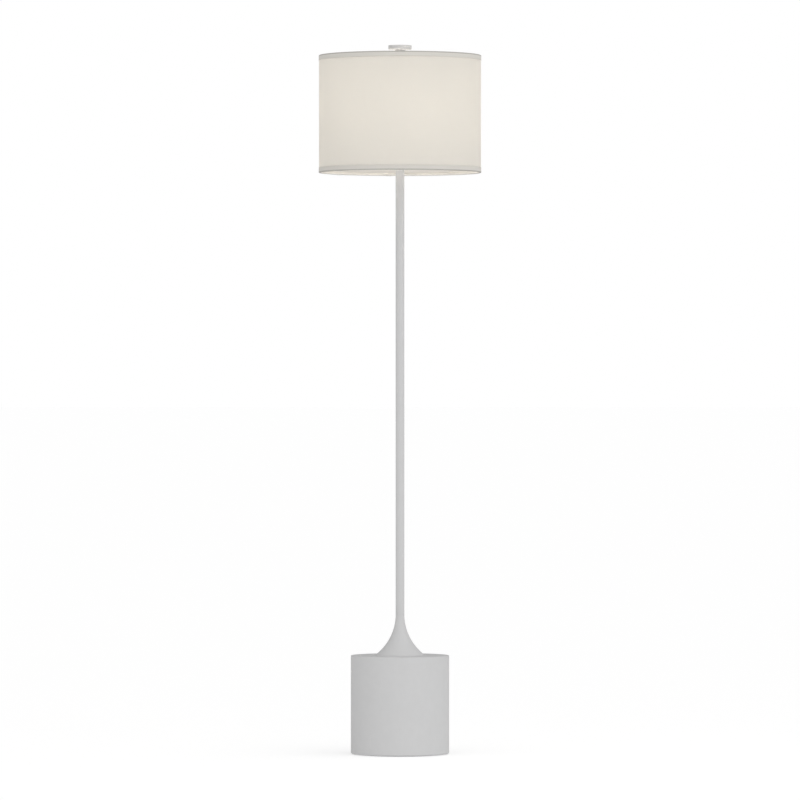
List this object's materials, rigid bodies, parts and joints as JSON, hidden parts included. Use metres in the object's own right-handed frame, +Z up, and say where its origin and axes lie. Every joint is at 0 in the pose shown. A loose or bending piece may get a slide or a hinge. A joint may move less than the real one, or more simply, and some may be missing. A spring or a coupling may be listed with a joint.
{
  "type": "floor lamp",
  "caption": "Column floor lamp: tall drum base, trumpet foot, slim round column and a drum shade held on a harp by a disc finial.",
  "frame": {"origin": "on the floor, under the middle of the drum base", "axes": "+Z up along the column, -Y towards the front and the switch, +Y towards the back and the cord inlet, +X to the right seen from the front, in the plane of the harp"},
  "size_m": [0.3572, 0.3572, 1.557],
  "materials": {
    "white_powder_coat": "matte white powder coat with a very fine texture",
    "foot_rubber": "matte moulded rubber",
    "zinc_plated_steel": "bright zinc plate, lightly brushed",
    "brass": "turned brass",
    "cast_iron": "rough black-painted casting",
    "black_nylon": "moulded nylon",
    "splice_plastic": "ribbed moulded plastic",
    "lead_sheath": "soft extruded sheath",
    "satin_nickel": "satin nickel plate",
    "knob_plastic": "polished thermoset",
    "liner_board": "vulcanised fibre board",
    "phenolic": "pressed phenolic",
    "bulb_contact": "soldered contact",
    "bulb_insulator_glass": "black glassy insulator",
    "bulb_aluminium": "drawn aluminium",
    "bulb_foot_plastic": "satin white moulding",
    "opal_globe": "opal diffusing polycarbonate",
    "shade_linen": "plain-woven cream linen, stretched and glued",
    "shade_styrene": "translucent styrene sheet",
    "trim_tape": "folded linen bias tape",
    "white_wire": "white powder coat on wire"
  },
  "bodies": {
    "stand": {"base_shell": "white_powder_coat", "flare_foot": "white_powder_coat", "column_tube_1": "white_powder_coat", "column_tube_2": "white_powder_coat", "column_tube_3": "white_powder_coat", "column_top_cap": "white_powder_coat", "foot_ring": "foot_rubber", "bottom_plate": "zinc_plated_steel", "plate_lugs": "zinc_plated_steel", "plate_screws": "zinc_plated_steel", "ballast_bolt": "zinc_plated_steel", "ballast_washer": "zinc_plated_steel", "ballast_nut": "zinc_plated_steel", "deck_stiffener": "zinc_plated_steel", "deck_washer": "zinc_plated_steel", "deck_nut": "zinc_plated_steel", "base_nipple": "zinc_plated_steel", "joint_nipples": "zinc_plated_steel", "socket_nipple": "zinc_plated_steel", "column_inserts": "brass", "socket_set_screw": "zinc_plated_steel", "ballast": "cast_iron", "cord_gland": "black_nylon", "gland_nut": "black_nylon", "splice_caps": "splice_plastic", "column_lead": "lead_sheath", "harp_saddle": "satin_nickel", "socket_cap": "satin_nickel", "socket_shell": "satin_nickel", "socket_liner": "liner_board", "socket_body": "phenolic", "terminal_screws": "brass", "socket_screw_shell": "brass", "socket_contact": "brass"},
    "switch": {"switch_stem": "brass", "switch_knob": "knob_plastic"},
    "bulb": {"bulb_tip": "bulb_contact", "bulb_insulator": "bulb_insulator_glass", "bulb_base": "bulb_aluminium", "bulb_body": "bulb_foot_plastic", "led_board": "bulb_aluminium", "bulb_globe": "opal_globe"},
    "harp": {"harp": "satin_nickel"},
    "left_sleeve": {"harp_sleeve_left": "satin_nickel"},
    "right_sleeve": {"harp_sleeve_right": "satin_nickel"},
    "swivel_stud": {"harp_stud": "satin_nickel"},
    "shade": {"shade_fabric": "shade_linen", "shade_backing": "shade_styrene", "shade_top_ring": "white_wire", "shade_bottom_ring": "white_wire", "shade_spider": "white_wire", "shade_top_trim": "trim_tape", "shade_bottom_trim": "trim_tape"},
    "finial": {"finial_cap": "white_powder_coat", "finial_insert": "brass"}
  },
  "joints": [
    {"name": "switch_turn", "type": "hinge", "parent": "stand", "child": "switch", "pos_m": [0, -0.027, 1.34], "axis": [0, -1, 0], "continuous": true},
    {"name": "bulb_lift", "type": "slide", "parent": "stand", "child": "bulb", "axis": [0, 0, 1], "range_m": [0, 0.028]},
    {"name": "harp_lift", "type": "slide", "parent": "stand", "child": "harp", "axis": [0, 0, 1], "range_m": [0, 0.03]},
    {"name": "left_sleeve_lift", "type": "slide", "parent": "harp", "child": "left_sleeve", "axis": [0, 0, 1], "range_m": [0, 0.014]},
    {"name": "right_sleeve_lift", "type": "slide", "parent": "harp", "child": "right_sleeve", "axis": [0, 0, 1], "range_m": [0, 0.014]},
    {"name": "stud_swivel", "type": "hinge", "parent": "harp", "child": "swivel_stud", "pos_m": [0, 0, 1.5182], "axis": [0, 0, 1], "continuous": true},
    {"name": "shade_lift", "type": "slide", "parent": "swivel_stud", "child": "shade", "axis": [0, 0, 1], "range_m": [0, 0.27]},
    {"name": "finial_lift", "type": "slide", "parent": "shade", "child": "finial", "axis": [0, 0, 1], "range_m": [0, 0.03]}
  ]
}
